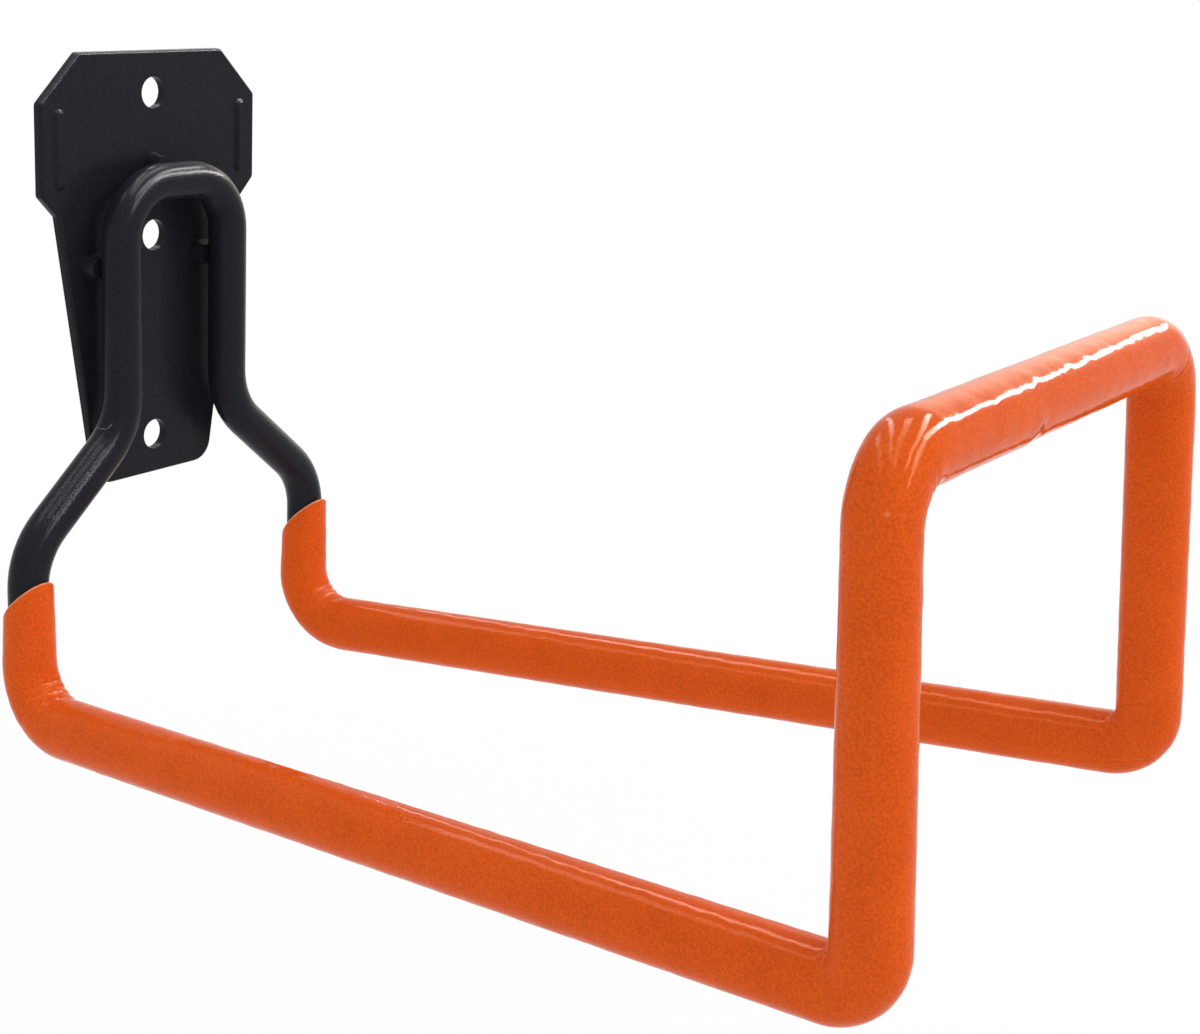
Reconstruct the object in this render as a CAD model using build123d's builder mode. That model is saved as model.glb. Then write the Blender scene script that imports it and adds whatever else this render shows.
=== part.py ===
"""Garage hook: a bent steel tube welded to a stamped wall plate, its carrying end dipped in a soft coat."""

import os
from math import radians, tan

from build123d import *

# Frame, in millimetres: +Z is up, the wall is the plane Y = 0 and the hook reaches out towards -Y.
# The origin lies on the wall, halfway between the top and the bottom screw hole.

# Wall plate, a stamped sheet with an eight-sided head and a tapered body
plate_thickness = 2.4
plate_height = 111.0
head_width = 74.0
head_top_width = 49.0
head_bevel_height = 12.0
head_side_height = 22.5
shoulder_step = 5.2
shoulder_height = 5.3
foot_width = 40.2
head_corner_radius = 1.6
foot_corner_radius = 6.0
plate_edge_radius = 0.8

# Screw holes on the plate's middle line
screw_hole_diameter = 8.0
screw_spacing = 90.0
middle_screw_drop = 36.5

# Stiffening beads pressed into the head, one near each side
bead_length = 20.0
bead_width = 4.0
bead_height = 1.0
bead_draft = 45.0
bead_side_inset = 5.6

# Weld saddles pressed out of the sheet: one under the tube's top bar, one under each leg
saddle_length = 13.0
saddle_width = 6.6
saddle_height = 3.0
saddle_cradle_depth = 0.8
saddle_wall = 1.5
saddle_draft = 12.0
leg_saddle_height = 2.4
weld_gap = 0.05

# Tube, bent into one loop
tube_diameter = 10.0
tube_wall = 1.2
leg_spacing = 37.5
top_bar_height = 23.5
splay_top_height = -38.0
splay_bottom_height = -65.2
rear_spacing = 102.0
rear_corner_height = -108.7
front_spacing = 147.0
crossbar_spacing = 142.5
arm_reach = 245.5
arm_rise_angle = 5.0
front_riser_length = 97.0
top_bend_inside = 9.0
splay_bend_inside = 15.0
bend_share = 0.47
butt_gap = 0.4

# Soft coat on the carrying end: thinner up the rear risers, where it drained before it set
coat_wall = 2.55
rear_coat_wall = 1.6
coat_edge_wall = 1.2
coat_gap = 0.05
rear_bend_inside = 6.5
front_bend_inside = 1.5
crossbar_bend_inside = 5.0
dip_line_height = -78.0
dip_line_slope = 45.0

# Sizes that follow from the ones above
tube_radius = tube_diameter / 2
bore_radius = tube_radius + coat_gap
coat_radius = bore_radius + coat_wall
rear_coat_radius = bore_radius + rear_coat_wall
coat_edge_radius = bore_radius + coat_edge_wall
tube_axis_y = -(plate_thickness + saddle_height + tube_radius)
plate_top = plate_height / 2
top_screw_height = screw_spacing / 2
middle_screw_height = top_screw_height - middle_screw_drop
arm_climb = arm_reach * tan(radians(arm_rise_angle))


def half_route(side):
    """Corner points of the tube's axis on one side, from the front crossbar to the top bar on the plate."""
    rear_x = side * rear_spacing / 2
    front_x = side * front_spacing / 2
    leg_x = side * leg_spacing / 2
    front_corner = Vector(front_x, tube_axis_y - arm_reach, rear_corner_height + arm_climb)
    # The front riser stands square to the rising arm, so it leans back towards the wall.
    riser = Vector(0, 0, front_riser_length).rotate(Axis.X, -arm_rise_angle)
    riser_top = Vector(side * crossbar_spacing / 2, front_corner.Y + riser.Y, front_corner.Z + riser.Z)
    return [
        riser_top,
        front_corner,
        Vector(rear_x, tube_axis_y, rear_corner_height),
        Vector(rear_x, tube_axis_y, splay_bottom_height),
        Vector(leg_x, tube_axis_y, splay_top_height),
        Vector(leg_x, tube_axis_y, top_bar_height),
    ]


def bend_radii(points, wanted):
    """Bend radius at each inner corner of a route, no larger than its two runs have room for."""
    radii = []
    for before, corner, after, radius in zip(points, points[1:], points[2:], wanted):
        turn = (corner - before).get_angle(after - corner)
        shorter_run = min((corner - before).length, (after - corner).length)
        radii.append(min(radius, bend_share * shorter_run / tan(radians(turn) / 2)))
    return radii


right_half = half_route(1)
left_half = half_route(-1)
half_bends = [
    crossbar_bend_inside + coat_radius,
    front_bend_inside + coat_radius,
    rear_bend_inside + coat_radius,
    splay_bend_inside + tube_radius,
    splay_bend_inside + tube_radius,
    top_bend_inside + tube_radius,
]

# The tube's two ends meet at the middle of the crossbar.
crossbar_middle = (right_half[0] + left_half[0]) / 2
butt_offset = Vector(butt_gap / 2, 0, 0)
tube_points = [crossbar_middle + butt_offset, *right_half, *left_half[::-1], crossbar_middle - butt_offset]
tube_bends = bend_radii(tube_points, half_bends + half_bends[::-1])

# Half of the coat's route: from the crossbar's middle, round one side, to halfway up the slanted leg.
coat_points = [crossbar_middle, *right_half[:4], (right_half[3] + right_half[4]) / 2]
coat_bends = tube_bends[:4]


# Wall plate
with BuildPart() as back_plate:
    head_side_top = plate_top - head_bevel_height
    head_side_bottom = head_side_top - head_side_height
    waist_width = head_width - 2 * shoulder_step
    with BuildSketch(Plane.XZ) as plate_outline:
        with BuildLine():
            Polyline(
                (0, plate_top),
                (head_top_width / 2, plate_top),
                (head_width / 2, head_side_top),
                (head_width / 2, head_side_bottom),
                (waist_width / 2, head_side_bottom - shoulder_height),
                (foot_width / 2, -plate_top),
                (0, -plate_top),
            )
            mirror(about=Plane.YZ)
        make_face()
        fillet(plate_outline.vertices().group_by(Axis.Y)[0], radius=foot_corner_radius)
        fillet(plate_outline.vertices().group_by(Axis.Y)[3:], radius=head_corner_radius)
    extrude(amount=plate_thickness)
    fillet(back_plate.faces().sort_by(Axis.Y)[0].edges(), radius=plate_edge_radius)

    plate_front = Plane.XZ.offset(plate_thickness)
    bead_x = head_width / 2 - bead_side_inset
    bead_z = (head_side_top + head_side_bottom) / 2
    with BuildSketch(plate_front):
        with Locations((bead_x, bead_z), (-bead_x, bead_z)):
            SlotOverall(bead_length, bead_width, rotation=90)
    extrude(amount=bead_height, taper=bead_draft)

    # The saddles stand a little higher than the tube's back, which lies in a groove across each.
    saddle_top = saddle_height + saddle_cradle_depth
    with BuildSketch(plate_front):
        with Locations((leg_spacing / 2, leg_saddle_height), (-leg_spacing / 2, leg_saddle_height)):
            SlotOverall(saddle_length, saddle_width)
        with Locations((0, top_bar_height)):
            SlotOverall(saddle_length, saddle_width, rotation=90)
    extrude(amount=saddle_top, taper=saddle_draft)
    with BuildSketch(Plane.XZ):
        hollow_length = saddle_length - 2 * saddle_wall
        hollow_width = saddle_width - 2 * saddle_wall
        with Locations((leg_spacing / 2, leg_saddle_height), (-leg_spacing / 2, leg_saddle_height)):
            SlotOverall(hollow_length, hollow_width)
        with Locations((0, top_bar_height)):
            SlotOverall(hollow_length, hollow_width, rotation=90)
    extrude(amount=saddle_height, taper=saddle_draft, mode=Mode.SUBTRACT)

    groove_radius = tube_radius + weld_gap
    with BuildSketch(Plane.XY.offset(leg_saddle_height)):
        with Locations((leg_spacing / 2, tube_axis_y), (-leg_spacing / 2, tube_axis_y)):
            Circle(groove_radius)
    extrude(amount=saddle_width, both=True, mode=Mode.SUBTRACT)
    with BuildSketch(Plane.YZ):
        with Locations((tube_axis_y, top_bar_height)):
            Circle(groove_radius)
    extrude(amount=saddle_width, both=True, mode=Mode.SUBTRACT)

    with Locations(plate_front):
        with Locations((0, top_screw_height), (0, middle_screw_height), (0, -top_screw_height)):
            Hole(screw_hole_diameter / 2)

# Bent tube
with BuildPart() as hook_tube:
    with BuildLine() as tube_route:
        FilletPolyline(*tube_points, radius=tube_bends)
    with BuildSketch(Plane(origin=tube_route.line @ 0, z_dir=tube_route.line % 0)):
        Circle(tube_radius)
        Circle(tube_radius - tube_wall, mode=Mode.SUBTRACT)
    sweep(path=tube_route.line)

# Soft coat: one side is made whole and then mirrored
with BuildPart() as grip_coating:
    with BuildLine() as coat_route:
        FilletPolyline(*coat_points, radius=coat_bends)
    coat_runs = coat_route.wire().order_edges()
    thick_runs, top_runs = Wire(coat_runs[:5]), Wire(coat_runs[7:])
    rear_bend, rear_riser = coat_runs[5:7]

    with BuildSketch(Plane(origin=thick_runs @ 0, z_dir=thick_runs % 0)):
        Circle(coat_radius)
    sweep(path=thick_runs)

    # The coat thins round the rear bend and goes on thinning up the riser.
    for run, start_radius, end_radius in (
        (rear_bend, coat_radius, rear_coat_radius),
        (rear_riser, rear_coat_radius, coat_edge_radius),
    ):
        with BuildSketch(Plane(origin=run @ 0, z_dir=run % 0)):
            Circle(start_radius)
        with BuildSketch(Plane(origin=run @ 1, z_dir=run % 1)):
            Circle(end_radius)
        sweep(path=run, multisection=True)
    with BuildSketch(Plane(origin=top_runs @ 0, z_dir=top_runs % 0)):
        Circle(coat_edge_radius)
    sweep(path=top_runs)

    with BuildSketch(Plane(origin=coat_route.line @ 0, z_dir=coat_route.line % 0)):
        Circle(bore_radius)
    sweep(path=coat_route.line, mode=Mode.SUBTRACT)

    # The coat ends where the dip's surface stood, higher at the front of each riser than at its back.
    dip_surface = Plane(
        origin=(0, tube_axis_y, dip_line_height),
        z_dir=Vector(0, 0, 1).rotate(Axis.X, -dip_line_slope),
    )
    split(bisect_by=dip_surface, keep=Keep.BOTTOM)
    mirror(about=Plane.YZ)

os.makedirs("parts", exist_ok=True)
for name, piece in (
    ("back_plate", back_plate.part),
    ("hook_tube", hook_tube.part),
    ("grip_coating", grip_coating.part),
):
    piece.label = name
    export_step(piece, f"parts/{name}.step")
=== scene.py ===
"""Looks of the garage hook: dipped vinyl on its carrying end, powder coat on its steel, and the studio."""
from collections import namedtuple
from math import cos, exp, pi, radians, sin, tan

import bpy
from mathutils import Matrix, Vector


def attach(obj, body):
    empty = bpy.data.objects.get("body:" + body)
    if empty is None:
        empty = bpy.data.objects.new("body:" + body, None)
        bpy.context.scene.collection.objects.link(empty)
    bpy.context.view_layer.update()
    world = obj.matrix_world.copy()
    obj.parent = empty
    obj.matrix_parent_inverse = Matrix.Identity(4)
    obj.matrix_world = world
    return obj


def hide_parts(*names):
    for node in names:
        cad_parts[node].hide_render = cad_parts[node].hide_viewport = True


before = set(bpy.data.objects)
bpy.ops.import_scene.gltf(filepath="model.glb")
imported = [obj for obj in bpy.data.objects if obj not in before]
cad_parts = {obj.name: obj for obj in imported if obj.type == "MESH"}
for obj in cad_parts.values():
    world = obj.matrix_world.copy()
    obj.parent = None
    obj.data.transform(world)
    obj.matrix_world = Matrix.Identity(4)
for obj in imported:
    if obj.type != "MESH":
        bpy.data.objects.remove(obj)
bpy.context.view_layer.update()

# Sizes of the bent tube and its coat, in metres, as in the solids
mm = 0.001
tube_axis_y = -10.4 * mm
rear_spacing = 102.0 * mm
rear_corner_height = -108.7 * mm
splay_bottom_height = -65.2 * mm
front_spacing = 147.0 * mm
crossbar_spacing = 142.5 * mm
arm_reach = 245.5 * mm
arm_rise = radians(5.0)
front_riser_length = 97.0 * mm
bore_radius = 5.05 * mm
coat_radius = 7.6 * mm
rear_coat_radius = 6.65 * mm
coat_edge_radius = 6.25 * mm
crossbar_bend_inside = 5.0 * mm
front_bend_inside = 1.5 * mm
rear_bend_inside = 6.5 * mm
dip_line_height = -78.0 * mm
dip_line_slope = radians(45.0)

# The coat ran off the near top corner a little before it set, so it is thinner there.
near_corner_radius = 7.1 * mm

# How finely the coat is drawn
ring_sides = 64
ring_spacing = 1.0 * mm
bend_steps = 32
riser_steps = 12
lip_steps = 6
bore_spacing = 12.0 * mm
bore_bend_steps = 8
merge_distance = 0.005 * mm

# Folds inside the bends: how far round the bend each lies, from 0 to 1, and how deep it is
crease_width = 0.035
crossbar_creases = ((0.38, 0.30 * mm), (0.50, 0.22 * mm))
front_creases = ((0.45, 0.30 * mm),)
rear_creases = ((0.40, 0.28 * mm), (0.54, 0.34 * mm), (0.68, 0.22 * mm))

# Step in the crossbar where the tube's ends meet, a little off its middle
joint_x = -18.5 * mm
joint_step = 0.26 * mm
joint_fade = 22.0 * mm
joint_width = 2.6 * mm

# Ripples that the dip left in the coat
ripple_size = 5.0 * mm
ripple_height = 0.2 * mm

# Cloudy tone in both finishes
cloud_detail = 3.0

# Orange vinyl: its two tones, its patterns in waves to the metre, and its skin
vinyl_dark = (0.598, 0.079, 0.0095, 1)
vinyl_light = (0.752, 0.108, 0.0140, 1)
vinyl_cloud_scale = 90.0
vinyl_cloud_contrast = 0.8
vinyl_grain_scale = 1700.0
vinyl_grain_contrast = 3.0
vinyl_peel_scale = 420.0
vinyl_bump = 0.03 * mm
vinyl_roughness = 0.07
vinyl_roughness_grain = 0.05
vinyl_gloss = 0.05
vinyl_gloss_tint = (1.0, 0.6, 0.3, 1)

# Heights in the vinyl's skin, as multiples of its bump
peel_height = 0.7
grain_height = 0.3
nick_depth = 4.0
bubble_height = 9.0

# Marks in the coat: a nick below the crossbar's joint, dented and darkened with painted shade, and a bubble
# at the near top corner, raised and lightened with a painted highlight
nick_ends = (Vector((-19.21, -254.63, 6.96)) * mm, Vector((-18.12, -254.87, 7.88)) * mm)
nick_spread = 0.35 * mm
# The nick's colour is a darker orange: painted shade in its dent.
nick_shade_colour = (0.10, 0.012, 0.002, 1)
bubble_spot = Vector((-77.43, -251.77, 2.31)) * mm
bubble_radius = 0.9 * mm
# The bubble's lighter colour is a painted highlight on its dome.
bubble_highlight_colour = (0.85, 0.26, 0.10, 1)

# The coat's edge at the dip line is thin, and carries a painted highlight along it, lighter than the vinyl.
dip_line_normal = Vector((0, sin(dip_line_slope), cos(dip_line_slope)))
dip_line_reach = dip_line_normal.dot(Vector((0, tube_axis_y, dip_line_height)))
lip_highlight_width = 0.9 * mm
lip_highlight_colour = (0.93, 0.43, 0.25, 1)

# Black powder coat: its two tones, its patterns in waves to the metre, and its skin
powder_dark = (0.0085, 0.0093, 0.0125, 1)
powder_light = (0.0175, 0.0183, 0.023, 1)
powder_cloud_scale = 60.0
powder_cloud_contrast = 0.3
powder_grain_scale = 2200.0
powder_grain_detail = 3.0
powder_grain_sharpness = 0.6
powder_grain_contrast = 2.6
powder_bump = 0.04 * mm
powder_roughness = 0.14
powder_roughness_grain = 0.12
powder_gloss = 0.07

# Fold in the left leg's lower bend, from the plate round to the front of the tube, raised in the bump and
# lightened with a painted highlight along it
fold_points = (
    Vector((-25.88, -8.01, -37.51)) * mm,
    Vector((-26.53, -10.16, -37.38)) * mm,
    Vector((-26.14, -12.10, -37.35)) * mm,
    Vector((-24.91, -12.86, -35.99)) * mm,
)
fold_spread = 0.05 * mm
fold_height = 2.0
# The fold's light grey is a painted highlight on its ridge.
fold_highlight_colour = (0.11, 0.115, 0.12, 1)

# Camera, fitted to the photograph's frame
image_width = 1200
image_height = 1034
focal_pixels = 2007.9
axis_pixel_x = 601.6
axis_pixel_y = 489.7
sensor_width = 36.0
clip_start = 10.0 * mm
camera_place = Vector((-370.77, -384.86, 94.65)) * mm
camera_azimuth = radians(-57.149)
camera_elevation = radians(15.917)
camera_roll = radians(3.345)

# Floor, world and key light
white = (1, 1, 1, 1)
floor_height = -0.45
floor_reach = 8.0
floor_white = (0.9, 0.9, 0.9, 1)
shadow_reach = 1.2
shadow_share = 0.2
world_light = 0.86
key_direction = Vector((0.30, -0.60, 0.75))
key_distance = 2.0
key_size = 1.2
key_radiance = 3.6

# Bright side of the studio: where it lies, how far it spreads, and its light
bright_side = Vector((0.931, 0.164, 0.326))
bright_reach = 0.47
bright_level = 2.4
bright_colour = (1.0, 0.86, 0.62, 1)

# Strip lamps: two ends in ceiling heights across and along from the crossbar, width in metres, radiance
ceiling_height = 1.5
ceiling_strips = {
    "side_strip": ((2.05, -0.58), (3.00, 0.10), 0.18, 80.0),
    "front_strip": ((0.55, -0.72), (2.10, -0.56), 0.34, 70.0),
    "tail_strip": ((-0.45, -2.20), (0.60, -0.72), 0.34, 40.0),
    "second_strip": ((-0.30, -0.92), (1.15, 0.08), 0.22, 45.0),
    "middle_strip": ((-0.50, -0.26), (0.70, 0.36), 0.26, 15.0),
    "arm_strip": ((-0.40, 0.02), (0.90, 1.06), 0.17, 22.0),
    "arm_tail_strip": ((0.90, 1.06), (2.40, 2.26), 0.12, 8.0),
    "back_strip": ((-0.75, 0.32), (0.50, 1.26), 0.24, 10.0),
}

Bend = namedtuple("Bend", "start centre axis turn end")


def half_route():
    """Corners of the coated run's axis on the right side, from the crossbar to the rear riser's top."""
    front_y = tube_axis_y - arm_reach
    front_z = rear_corner_height + arm_reach * tan(arm_rise)
    riser_back = front_riser_length * sin(arm_rise)
    riser_up = front_riser_length * cos(arm_rise)
    riser_top = Vector((crossbar_spacing / 2, front_y + riser_back, front_z + riser_up))
    return [
        Vector((0, riser_top.y, riser_top.z)),
        riser_top,
        Vector((front_spacing / 2, front_y, front_z)),
        Vector((rear_spacing / 2, tube_axis_y, rear_corner_height)),
        Vector((rear_spacing / 2, tube_axis_y, splay_bottom_height)),
    ]


def bend_at(before, corner, after, radius):
    """The arc of one bend of a route: where it starts and ends, and how it turns."""
    arriving = (corner - before).normalized()
    leaving = (after - corner).normalized()
    turn = arriving.angle(leaving)
    reach = radius * tan(turn / 2)
    start = corner - arriving * reach
    axis = arriving.cross(leaving).normalized()
    return Bend(start, start + axis.cross(arriving) * radius, axis, turn, corner + leaving * reach)


route = half_route()
crossbar_middle = route[0]
crossbar_bend = bend_at(*route[0:3], crossbar_bend_inside + coat_radius)
front_bend = bend_at(*route[1:4], front_bend_inside + coat_radius)
rear_bend = bend_at(*route[2:5], rear_bend_inside + coat_radius)


# Modelling by hand: a ring of edges that is drawn along the route


def ring_centre(piece):
    """Middle of the ring that is selected now."""
    piece.update_from_editmode()
    picked = [vertex.co for vertex in piece.data.vertices if vertex.select]
    return sum(picked, Vector()) / len(picked)


def start_ring(name, centre, heading, radius):
    """A new piece that is one ring of edges square to its heading, open for editing."""
    bpy.ops.object.select_all(action="DESELECT")
    turn = heading.to_track_quat("Z", "Y").to_euler()
    bpy.ops.mesh.primitive_circle_add(vertices=ring_sides, radius=radius, location=centre, rotation=turn)
    piece = bpy.context.object
    piece.name = piece.data.name = name
    bpy.ops.object.transform_apply(location=True, rotation=True, scale=True)
    bpy.ops.object.mode_set(mode="EDIT")
    bpy.ops.mesh.select_all(action="SELECT")
    return piece


def scale_ring(factor, about):
    """Scale the ring about a point."""
    bpy.ops.transform.resize(value=(factor, factor, factor), center_override=about)


def draw_run(piece, end, spacing=ring_spacing):
    """Extrude the ring straight on to a point, in even steps."""
    run = end - ring_centre(piece)
    steps = max(1, round(run.length / spacing))
    bpy.ops.mesh.extrude_repeat(steps=steps, offset=run / steps)


def draw_taper(piece, end, start_radius, end_radius):
    """Extrude the ring straight on to a point while its radius changes evenly."""
    run = end - ring_centre(piece)
    steps = round(run.length / ring_spacing)
    radius = start_radius
    for step in range(steps):
        bpy.ops.mesh.extrude_repeat(steps=1, offset=run / steps)
        wanted = start_radius + (end_radius - start_radius) * (step + 1) / steps
        scale_ring(wanted / radius, ring_centre(piece))
        radius = wanted


def outer_point(middle, bend, radius):
    """The point of a ring that lies farthest from the bend's centre."""
    return middle + (middle - bend.centre).normalized() * radius


def draw_bend(piece, bend, start_radius, end_radius, creases):
    """Spin the ring round a bend while its radius changes, with folds on the inside of the bend."""
    radius = start_radius
    pinch = 1.0
    for step in range(bend_steps):
        along = (step + 1) / bend_steps
        bpy.ops.mesh.spin(steps=1, angle=-bend.turn / bend_steps, center=bend.centre, axis=bend.axis)
        scale_ring(1 / pinch, outer_point(ring_centre(piece), bend, radius * pinch))
        wanted = start_radius + (end_radius - start_radius) * along
        middle = ring_centre(piece)
        scale_ring(wanted / radius, middle)
        radius = wanted
        depth = sum(deep * exp(-(((along - place) / crease_width) ** 2)) for place, deep in creases)
        pinch = 1 - depth / (2 * radius)
        scale_ring(pinch, outer_point(middle, bend, radius))


def draw_bore_bend(bend):
    """Spin the ring back round a bend, inside the coat."""
    bpy.ops.mesh.spin(steps=bore_bend_steps, angle=bend.turn, center=bend.centre, axis=bend.axis)


def draw_coat(piece, corner_radius):
    """The coat's outside: thick on the front and the arms, thinner up the rear riser."""
    draw_run(piece, crossbar_bend.start)
    draw_bend(piece, crossbar_bend, coat_radius, corner_radius, crossbar_creases)
    draw_taper(piece, front_bend.start, corner_radius, coat_radius)
    draw_bend(piece, front_bend, coat_radius, coat_radius, front_creases)
    draw_run(piece, rear_bend.start)
    draw_bend(piece, rear_bend, coat_radius, rear_coat_radius, rear_creases)

    # Up the riser the ring tilts step by step into the plane of the dip line.
    climb = (dip_line_height - rear_bend.end.z) / riser_steps
    radius = rear_coat_radius
    tilt = 0.0
    for step in range(riser_steps):
        bpy.ops.mesh.extrude_repeat(steps=1, offset=(0, 0, climb))
        wanted = rear_coat_radius + (coat_edge_radius - rear_coat_radius) * (step + 1) / riser_steps
        next_tilt = dip_line_slope * (step + 1) / riser_steps
        middle = ring_centre(piece)
        bpy.ops.transform.rotate(value=next_tilt - tilt, orient_axis="X", center_override=middle)
        stretch = wanted / radius
        lean = stretch * cos(tilt) / cos(next_tilt)
        bpy.ops.transform.resize(value=(stretch, lean, lean), center_override=middle)
        radius = wanted
        tilt = next_tilt


def draw_lip(piece):
    """The coat's edge: a small round that turns in to the tube."""
    edge_round = coat_edge_radius - bore_radius
    radius = coat_edge_radius
    reached = 0.0
    for step in range(lip_steps):
        angle = pi / 2 * (step + 1) / lip_steps
        height = edge_round * sin(angle)
        bpy.ops.mesh.extrude_repeat(steps=1, offset=(0, 0, height - reached))
        wanted = bore_radius + edge_round * cos(angle)
        scale_ring(wanted / radius, ring_centre(piece))
        radius = wanted
        reached = height


def draw_bore(piece):
    """The coat's inside, back from the lip to the crossbar's middle."""
    lip = ring_centre(piece)
    bpy.ops.mesh.extrude_repeat(steps=1, offset=rear_bend.end - lip)
    bpy.ops.transform.rotate(value=-dip_line_slope, orient_axis="X", center_override=rear_bend.end)
    bpy.ops.transform.resize(value=(1, cos(dip_line_slope), 1), center_override=rear_bend.end)
    draw_bore_bend(rear_bend)
    draw_run(piece, front_bend.end, bore_spacing)
    draw_bore_bend(front_bend)
    draw_run(piece, crossbar_bend.end, bore_spacing)
    draw_bore_bend(crossbar_bend)
    draw_run(piece, crossbar_middle, bore_spacing)


def draw_half(name, corner_radius):
    """The skin of the coat's right half, open at the crossbar's middle, its outside in a vertex group."""
    piece = start_ring(name, crossbar_middle, Vector((1, 0, 0)), coat_radius)
    draw_coat(piece, corner_radius)
    draw_lip(piece)
    piece.update_from_editmode()
    outside = len(piece.data.vertices)
    draw_bore(piece)
    bpy.ops.object.mode_set(mode="OBJECT")
    piece.vertex_groups.new(name="outside").add(range(outside), 1.0, "REPLACE")
    return piece


def turn_left(piece):
    """Make a right half a left one."""
    bpy.ops.object.mode_set(mode="EDIT")
    bpy.ops.mesh.select_all(action="SELECT")
    bpy.ops.transform.resize(value=(-1, 1, 1), center_override=(0, 0, 0))
    bpy.ops.object.mode_set(mode="OBJECT")


def join_halves(piece, other):
    """Join the two halves at the crossbar's middle into one closed skin, and turn its faces outwards."""
    other.select_set(True)
    bpy.ops.object.join()
    bpy.ops.object.mode_set(mode="EDIT")
    bpy.ops.mesh.select_all(action="SELECT")
    bpy.ops.mesh.remove_doubles(threshold=merge_distance)
    bpy.ops.mesh.normals_make_consistent(inside=False)
    bpy.ops.object.mode_set(mode="OBJECT")
    bpy.ops.object.shade_smooth()


def crossbar_rings(piece):
    """The crossbar's outside rings near its joint: each one's place along the bar, and its vertices."""
    rings = {}
    for vertex in piece.data.vertices:
        across = vertex.co - crossbar_middle
        across.x = 0
        on_bar = across.length < 2 * coat_radius
        near_joint = abs(vertex.co.x - joint_x) < joint_fade
        if vertex.groups and on_bar and near_joint:
            # A ring's vertices share their place to a hundredth of a millimetre.
            rings.setdefault(round(vertex.co.x, 5), []).append(vertex.index)
    return rings


def step_joint(piece):
    """Make the crossbar deeper on one side of its joint and shallower on the other, with its top kept."""
    for place, ring in crossbar_rings(piece).items():
        bpy.ops.object.mode_set(mode="EDIT")
        bpy.ops.mesh.select_all(action="DESELECT")
        bpy.ops.object.mode_set(mode="OBJECT")
        for index in ring:
            piece.data.vertices[index].select = True
        side = max(-1.0, min(1.0, (joint_x - place) / joint_width))
        fade = 1 - abs(joint_x - place) / joint_fade
        factor = 1 + side * fade * joint_step / (2 * coat_radius)
        top = crossbar_middle + Vector((place, 0, coat_radius))
        bpy.ops.object.mode_set(mode="EDIT")
        bpy.ops.transform.resize(value=(1, factor, factor), center_override=top)
    bpy.ops.object.mode_set(mode="OBJECT")


def ripple_skin(piece):
    """Push the outside in and out a little, as the dip set."""
    cloud = bpy.data.textures.new("dip_ripple", "CLOUDS")
    cloud.noise_scale = ripple_size
    waves = piece.modifiers.new("dip_ripple", "DISPLACE")
    waves.texture = cloud
    waves.strength = ripple_height
    waves.vertex_group = "outside"
    bpy.ops.object.modifier_apply(modifier=waves.name)


def make_vinyl_grip():
    """The dipped coat, one closed skin round the bent tube."""
    far_half = draw_half("vinyl_grip_far", coat_radius)
    piece = draw_half("vinyl_grip", near_corner_radius)
    turn_left(piece)
    join_halves(piece, far_half)
    step_joint(piece)
    ripple_skin(piece)
    piece.vertex_groups.clear()
    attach(piece, "root")
    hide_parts("grip_coating")
    return piece


# Finishes


class Value:
    """A shader socket, with arithmetic that adds Math nodes to its finish."""

    def __init__(self, finish, socket):
        self.finish = finish
        self.socket = socket

    def maths(self, operation, first, second):
        return self.finish.node("ShaderNodeMath", {"operation": operation}, {0: first, 1: second})

    def __add__(self, other):
        return self.maths("ADD", self, other)

    def __radd__(self, other):
        return self.maths("ADD", other, self)

    def __sub__(self, other):
        return self.maths("SUBTRACT", self, other)

    def __rsub__(self, other):
        return self.maths("SUBTRACT", other, self)

    def __mul__(self, other):
        return self.maths("MULTIPLY", self, other)

    def __rmul__(self, other):
        return self.maths("MULTIPLY", other, self)


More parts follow.
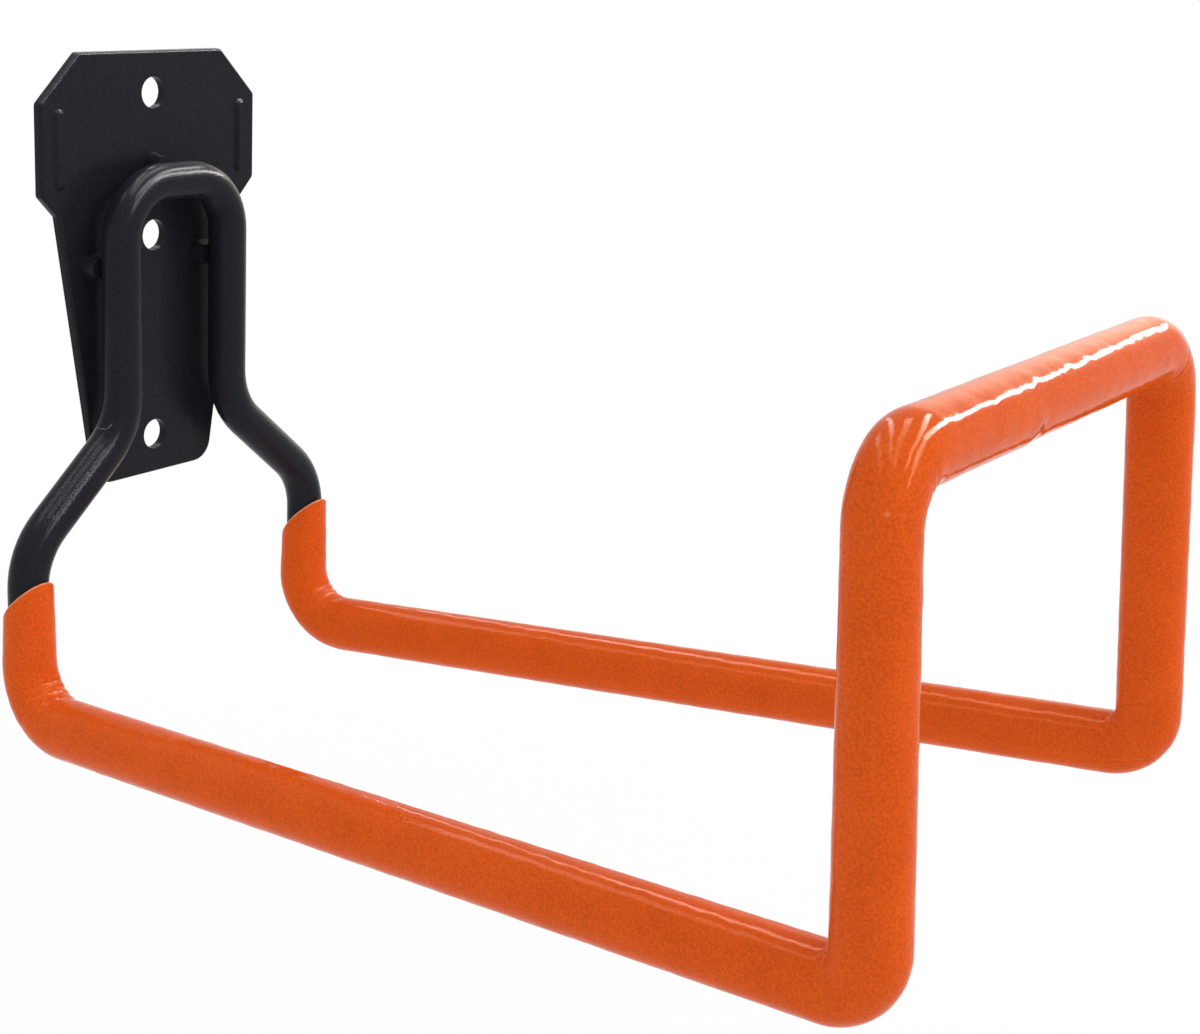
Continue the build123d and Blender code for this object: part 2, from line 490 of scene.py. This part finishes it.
class Finish:
    """The nodes of a material or of the world."""

    def __init__(self, owner):
        owner.use_nodes = True
        self.owner = owner
        self.tree = owner.node_tree
        self.tree.nodes.clear()

    def node(self, kind, settings, inputs, output=0):
        """Add one node: its settings first, then the values or links of its sockets."""
        added = self.tree.nodes.new(kind)
        for name, setting in settings.items():
            setattr(added, name, setting)
        for name, value in inputs.items():
            if isinstance(value, Value):
                self.tree.links.new(value.socket, added.inputs[name])
            else:
                added.inputs[name].default_value = value
        return Value(self, added.outputs[output]) if added.outputs else None

    def object_place(self):
        return self.node("ShaderNodeTexCoord", {}, {}, "Object")

    def noise(self, place, scale, detail=2.0, roughness=0.5):
        settings = {"noise_dimensions": "3D"}
        inputs = {"Vector": place, "Scale": scale, "Detail": detail, "Roughness": roughness}
        return self.node("ShaderNodeTexNoise", settings, inputs, "Fac")

    def distance(self, place, spot):
        return self.node("ShaderNodeVectorMath", {"operation": "DISTANCE"}, {0: place, 1: spot}, "Value")

    def along(self, place, direction):
        """How far a place lies along a direction."""
        settings = {"operation": "DOT_PRODUCT"}
        return self.node("ShaderNodeVectorMath", settings, {0: place, 1: direction}, "Value")

    def fade(self, value, start, end, from_level=0.0, to_level=1.0):
        """A smooth change from one level to another while a value goes from start to end."""
        inputs = {
            "Value": value,
            "From Min": start,
            "From Max": end,
            "To Min": from_level,
            "To Max": to_level,
        }
        return self.node("ShaderNodeMapRange", {"interpolation_type": "SMOOTHSTEP"}, inputs)

    def line(self, place, ends, spread):
        """1 on the line between two ends, and 0 where the way by both ends is longer than it by spread."""
        length = (ends[1] - ends[0]).length
        reach = self.distance(place, ends[0]) + self.distance(place, ends[1])
        return self.fade(reach, length, length + spread, 1.0, 0.0)

    def mix_colour(self, factor, first, second):
        """Mix two colours, through the sockets that a Mix node keeps for colours."""
        return self.node("ShaderNodeMix", {"data_type": "RGBA"}, {0: factor, 6: first, 7: second}, 2)

    def bump(self, height, distance):
        return self.node("ShaderNodeBump", {}, {"Height": height, "Distance": distance})

    def ray(self, kind):
        """1 for rays of one kind."""
        return self.node("ShaderNodeLightPath", {}, {}, kind)

    def seen(self):
        """1 for rays from the camera, off a gloss or through a clear body, and 0 for light on matt faces."""
        return self.ray("Is Camera Ray") + self.ray("Is Glossy Ray") + self.ray("Is Transmission Ray")

    def surface(self, inputs):
        shader = self.node("ShaderNodeBsdfPrincipled", {}, inputs)
        self.node("ShaderNodeOutputMaterial", {}, {"Surface": shader})
        return self.owner


def even_tone(cloud, cloud_contrast, grain, grain_contrast):
    """A tone about one half, from two noises about one half, each with its own contrast."""
    offset = (1 - cloud_contrast - grain_contrast) / 2
    return cloud_contrast * cloud + grain_contrast * grain + offset


def orange_vinyl():
    """Glossy dipped vinyl: an orange with a fine grain, a faint cloudy tone, marks from its making, and
    painted shade and highlights on those marks and along its edge.
    """
    finish = Finish(bpy.data.materials.new("orange_vinyl"))
    place = finish.object_place()
    cloud = finish.noise(place, vinyl_cloud_scale, cloud_detail)
    grain = finish.noise(place, vinyl_grain_scale)
    peel = finish.noise(place, vinyl_peel_scale)
    tone = even_tone(cloud, vinyl_cloud_contrast, grain, vinyl_grain_contrast)
    colour = finish.mix_colour(tone, vinyl_dark, vinyl_light)

    # Painted shade in the nick, whose dent is also cut into the bump below
    nick_and_shade = finish.line(place, nick_ends, nick_spread)
    colour = finish.mix_colour(nick_and_shade, colour, nick_shade_colour)
    # Painted highlight on the bubble, which is also raised in the bump below
    bubble_and_highlight = finish.fade(finish.distance(place, bubble_spot), 0.0, bubble_radius, 1.0, 0.0)
    colour = finish.mix_colour(bubble_and_highlight, colour, bubble_highlight_colour)
    # Painted highlight along the coat's edge at the dip line
    lip_highlight = finish.fade(finish.along(place, dip_line_normal), dip_line_reach, dip_line_reach + lip_highlight_width)
    colour = finish.mix_colour(lip_highlight, colour, lip_highlight_colour)

    skin = peel * peel_height + grain * grain_height - nick_and_shade * nick_depth + bubble_and_highlight * bubble_height
    return finish.surface({
        "Base Color": colour,
        "Roughness": vinyl_roughness + vinyl_roughness_grain * grain,
        "Normal": finish.bump(skin, vinyl_bump),
        "Specular IOR Level": vinyl_gloss,
        "Specular Tint": vinyl_gloss_tint,
    })


def black_powder_coat():
    """Satin black powder coat with its fine grain, and the fold in the left leg's bend with a painted
    highlight along it.
    """
    finish = Finish(bpy.data.materials.new("black_powder_coat"))
    place = finish.object_place()
    cloud = finish.noise(place, powder_cloud_scale, cloud_detail)
    grain = finish.noise(place, powder_grain_scale, powder_grain_detail, powder_grain_sharpness)
    tone = even_tone(cloud, powder_cloud_contrast, grain, powder_grain_contrast)
    colour = finish.mix_colour(tone, powder_dark, powder_light)

    # Painted highlight along the fold, which is also raised in the bump
    fold_and_highlight = finish.line(place, fold_points[:2], fold_spread)
    for ends in zip(fold_points[1:], fold_points[2:]):
        fold_and_highlight = fold_and_highlight + finish.line(place, ends, fold_spread)
    colour = finish.mix_colour(fold_and_highlight, colour, fold_highlight_colour)
    return finish.surface({
        "Base Color": colour,
        "Roughness": powder_roughness + powder_roughness_grain * grain,
        "Normal": finish.bump(grain + fold_and_highlight * fold_height, powder_bump),
        "Specular IOR Level": powder_gloss,
    })


def dress(piece, material):
    """Give a new piece its finish."""
    piece.data.materials.clear()
    piece.data.materials.append(material)


def dress_node(name, material):
    """Give a solid's own object a finish through its material slots."""
    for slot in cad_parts[name].material_slots:
        slot.material = material


# Studio


def add_camera():
    """The camera at the photograph's viewing angle."""
    data = bpy.data.cameras.new("photo_camera")
    data.sensor_width = sensor_width
    data.lens = focal_pixels / image_width * sensor_width
    data.shift_x = (image_width / 2 - axis_pixel_x) / image_width
    data.shift_y = (axis_pixel_y - image_height / 2) / image_width
    data.clip_start = clip_start
    camera = bpy.data.objects.new("photo_camera", data)
    turn = Matrix.Rotation(camera_azimuth, 4, "Z") @ Matrix.Rotation(pi / 2 - camera_elevation, 4, "X")
    camera.matrix_world = Matrix.Translation(camera_place) @ turn @ Matrix.Rotation(camera_roll, 4, "Z")
    bpy.context.scene.collection.objects.link(camera)
    bpy.context.scene.camera = camera


def white_floor():
    """A pale floor, white to the camera and in reflections, that takes a soft shadow near the hook."""
    finish = Finish(bpy.data.materials.new("floor_white"))
    distance = finish.distance(finish.object_place(), (0, 0, 0))
    whiteness = finish.fade(distance, 0.0, shadow_reach, 1 - shadow_share, 1.0)
    matt = finish.node("ShaderNodeBsdfDiffuse", {}, {"Color": floor_white})
    glow = finish.node("ShaderNodeEmission", {}, {"Color": white, "Strength": 1.0})
    mixed = finish.node("ShaderNodeMixShader", {}, {0: finish.seen() * whiteness, 1: matt, 2: glow})
    finish.node("ShaderNodeOutputMaterial", {}, {"Surface": mixed})
    return finish.owner


def add_floor():
    """A pale floor well below the hook, which is held up as on its wall."""
    bpy.ops.object.select_all(action="DESELECT")
    bpy.ops.mesh.primitive_plane_add(size=2 * floor_reach, location=(0, 0, floor_height))
    floor = bpy.context.object
    floor.name = "floor"
    dress(floor, white_floor())


def add_world():
    """White surroundings, dimmer as a light than they look, and a bright side that shows in gloss alone."""
    world = Finish(bpy.data.worlds.new("studio_white"))
    level = world.fade(world.seen(), 0.0, 1.0, world_light, 1.0)
    direction = world.node("ShaderNodeTexCoord", {}, {}, "Generated")
    bright = world.fade(world.distance(direction, bright_side), 0.0, bright_reach, bright_level, 0.0)
    gloss = bright * world.ray("Is Glossy Ray")
    plain = world.node("ShaderNodeBackground", {}, {"Color": white, "Strength": level})
    glow = world.node("ShaderNodeBackground", {}, {"Color": bright_colour, "Strength": gloss})
    both = world.node("ShaderNodeAddShader", {}, {0: plain, 1: glow})
    world.node("ShaderNodeOutputWorld", {}, {"Surface": both})
    bpy.context.scene.world = world.owner


def add_lamp(name, start, end, width, radiance):
    """A rectangular lamp along a line between two points, facing the crossbar, and not seen itself."""
    along = (end - start).normalized()
    away = (start + end) / 2 - crossbar_middle
    away = (away - along * away.dot(along)).normalized()
    data = bpy.data.lights.new(name, "AREA")
    data.shape = "RECTANGLE"
    data.size = width
    data.size_y = (end - start).length
    data.energy = radiance * pi * data.size * data.size_y
    lamp = bpy.data.objects.new(name, data)
    facing = Matrix((along.cross(away), along, away)).transposed().to_4x4()
    lamp.matrix_world = Matrix.Translation((start + end) / 2) @ facing
    lamp.visible_camera = False
    bpy.context.scene.collection.objects.link(lamp)
    return lamp


def add_key_light():
    """A large soft lamp high in front, which shows in no gloss."""
    middle = crossbar_middle + key_direction.normalized() * key_distance
    half = key_direction.cross(Vector((0, 0, 1))).normalized() * key_size / 2
    add_lamp("key_light", middle - half, middle + half, key_size, key_radiance).visible_glossy = False


def add_strip(name, start, end, width, radiance):
    """A strip lamp under the ceiling that shows in gloss alone."""
    ends = [crossbar_middle + Vector((*end_place, 1)) * ceiling_height for end_place in (start, end)]
    add_lamp(name, *ends, width, radiance).visible_diffuse = False


# The hook with its finishes, and the studio round it

vinyl_grip = make_vinyl_grip()
dress(vinyl_grip, orange_vinyl())
powder_coat = black_powder_coat()
dress_node("back_plate", powder_coat)
dress_node("hook_tube", powder_coat)

add_camera()
add_floor()
add_world()
add_key_light()
for name, strip in ceiling_strips.items():
    add_strip(name, *strip)
bpy.context.scene.view_settings.view_transform = "Standard"
